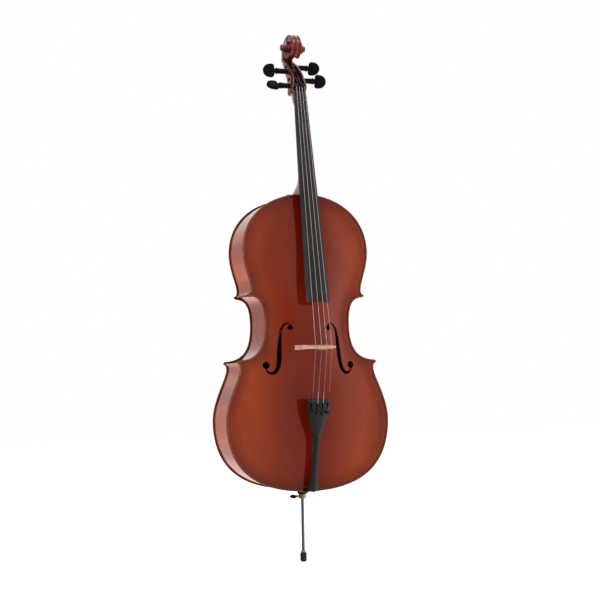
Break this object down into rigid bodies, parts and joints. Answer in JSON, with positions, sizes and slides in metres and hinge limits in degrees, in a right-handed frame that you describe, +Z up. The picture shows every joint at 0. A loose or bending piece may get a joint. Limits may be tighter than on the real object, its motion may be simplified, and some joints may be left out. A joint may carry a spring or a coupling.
{
  "type": "cello",
  "caption": "Full-size cello with arched glossy body, sound holes, fingerboard, scroll, pegs, bridge, tailpiece with fine tuners and a sliding endpin.",
  "frame": {"origin": "middle of the flat bottom of the rubber tip at the foot of the endpin", "axes": "+X towards the treble side, +Y towards the back, +Z up the instrument to the scroll; the belly faces -Y"},
  "size_m": [0.438, 0.2539, 1.3694],
  "materials": {
    "spruce_top": "glossy red-brown varnish over straight-grained spruce",
    "maple_varnished": "glossy red-brown varnish over flamed maple",
    "bare_spruce": "bare wood",
    "ebony": "satin black hardwood",
    "purfling": "dark inlay under varnish",
    "bridge_maple": "bare close-grained maple",
    "tailpiece_black": "black composite, satin gloss",
    "strings": "flat-wound metal",
    "steel": "polished steel rod",
    "black_metal": "black plated metal",
    "brass": "polished brass",
    "rubber": "black rubber",
    "tailgut_cord": "black cord"
  },
  "bodies": {
    "instrument": {"top_plate": "spruce_top", "back_plate": "maple_varnished", "upper_rib_treble": "maple_varnished", "upper_rib_bass": "maple_varnished", "waist_rib_treble": "maple_varnished", "waist_rib_bass": "maple_varnished", "lower_rib_treble": "maple_varnished", "lower_rib_bass": "maple_varnished", "neck_and_scroll": "maple_varnished", "linings_front": "bare_spruce", "linings_back": "bare_spruce", "top_block": "bare_spruce", "bottom_block": "bare_spruce", "upper_corner_block_treble": "bare_spruce", "upper_corner_block_bass": "bare_spruce", "lower_corner_block_treble": "bare_spruce", "lower_corner_block_bass": "bare_spruce", "bass_bar": "bare_spruce", "sound_post": "bare_spruce", "purfling_front_treble": "purfling", "purfling_front_bass": "purfling", "purfling_back": "purfling", "fingerboard": "ebony", "nut": "ebony", "saddle": "ebony", "endpin_plug": "ebony", "bridge": "bridge_maple", "tailpiece": "tailpiece_black", "string_c": "strings", "string_g": "strings", "string_d": "strings", "string_a": "strings", "tuner_axle": "steel", "endpin_ferrule": "brass", "tailgut": "tailgut_cord"},
    "peg_c_body": {"peg_c": "ebony", "winding_c": "strings"},
    "screw_c_body": {"tuner_screw_c": "black_metal"},
    "lever_c_body": {"tuner_lever_c": "black_metal"},
    "peg_g_body": {"peg_g": "ebony", "winding_g": "strings"},
    "screw_g_body": {"tuner_screw_g": "black_metal"},
    "lever_g_body": {"tuner_lever_g": "black_metal"},
    "peg_d_body": {"peg_d": "ebony", "winding_d": "strings"},
    "screw_d_body": {"tuner_screw_d": "black_metal"},
    "lever_d_body": {"tuner_lever_d": "black_metal"},
    "peg_a_body": {"peg_a": "ebony", "winding_a": "strings"},
    "screw_a_body": {"tuner_screw_a": "black_metal"},
    "lever_a_body": {"tuner_lever_a": "black_metal"},
    "endpin_body": {"endpin_rod": "steel", "rod_ring": "brass"},
    "tip_body": {"rubber_tip": "rubber"},
    "thumb_screw_body": {"thumb_screw": "black_metal"}
  },
  "joints": [
    {"name": "peg_c_turn", "type": "hinge", "parent": "instrument", "child": "peg_c_body", "pos_m": [0, -0.01917, 1.2245], "axis": [-1, 0, 0], "continuous": true},
    {"name": "peg_g_turn", "type": "hinge", "parent": "instrument", "child": "peg_g_body", "pos_m": [0, 0.00897, 1.2695], "axis": [-1, 0, 0], "continuous": true},
    {"name": "peg_d_turn", "type": "hinge", "parent": "instrument", "child": "peg_d_body", "pos_m": [0, 0.02049, 1.285], "axis": [1, 0, 0], "continuous": true},
    {"name": "peg_a_turn", "type": "hinge", "parent": "instrument", "child": "peg_a_body", "pos_m": [0, -0.00804, 1.244], "axis": [1, 0, 0], "continuous": true},
    {"name": "fine_tuner_c_turn", "type": "hinge", "parent": "instrument", "child": "screw_c_body", "pos_m": [-0.022, -0.11921, 0.38164], "axis": [0, 0.9735, 0.2288], "range_deg": [0, 720]},
    {"name": "fine_tuner_c_lever", "type": "hinge", "parent": "instrument", "child": "lever_c_body", "pos_m": [-0.022, -0.11868, 0.39512], "axis": [1, 0, 0], "range_deg": [0, 6]},
    {"name": "fine_tuner_g_turn", "type": "hinge", "parent": "instrument", "child": "screw_g_body", "pos_m": [-0.00733, -0.11921, 0.38164], "axis": [0, 0.9735, 0.2288], "range_deg": [0, 720]},
    {"name": "fine_tuner_g_lever", "type": "hinge", "parent": "instrument", "child": "lever_g_body", "pos_m": [-0.00733, -0.11868, 0.39512], "axis": [1, 0, 0], "range_deg": [0, 6]},
    {"name": "fine_tuner_d_turn", "type": "hinge", "parent": "instrument", "child": "screw_d_body", "pos_m": [0.00733, -0.11921, 0.38164], "axis": [0, 0.9735, 0.2288], "range_deg": [0, 720]},
    {"name": "fine_tuner_d_lever", "type": "hinge", "parent": "instrument", "child": "lever_d_body", "pos_m": [0.00733, -0.11868, 0.39512], "axis": [1, 0, 0], "range_deg": [0, 6]},
    {"name": "fine_tuner_a_turn", "type": "hinge", "parent": "instrument", "child": "screw_a_body", "pos_m": [0.022, -0.11921, 0.38164], "axis": [0, 0.9735, 0.2288], "range_deg": [0, 720]},
    {"name": "fine_tuner_a_lever", "type": "hinge", "parent": "instrument", "child": "lever_a_body", "pos_m": [0.022, -0.11868, 0.39512], "axis": [1, 0, 0], "range_deg": [0, 6]},
    {"name": "endpin_slide", "type": "slide", "parent": "instrument", "child": "endpin_body", "axis": [0, 0, 1], "range_m": [-0.2, 0.13]},
    {"name": "rubber_tip_pull", "type": "slide", "parent": "endpin_body", "child": "tip_body", "axis": [0, 0, -1], "range_m": [0, 0.02]},
    {"name": "thumb_screw_turn", "type": "hinge", "parent": "instrument", "child": "thumb_screw_body", "pos_m": [0, 0, 0.16545], "axis": [1, 0, 0], "continuous": true}
  ],
  "couplings": [
    {"joint": "fine_tuner_c_lever", "follows": "fine_tuner_c_turn", "ratio": 0.0077},
    {"joint": "fine_tuner_g_lever", "follows": "fine_tuner_g_turn", "ratio": 0.0077},
    {"joint": "fine_tuner_d_lever", "follows": "fine_tuner_d_turn", "ratio": 0.0077},
    {"joint": "fine_tuner_a_lever", "follows": "fine_tuner_a_turn", "ratio": 0.0077}
  ]
}
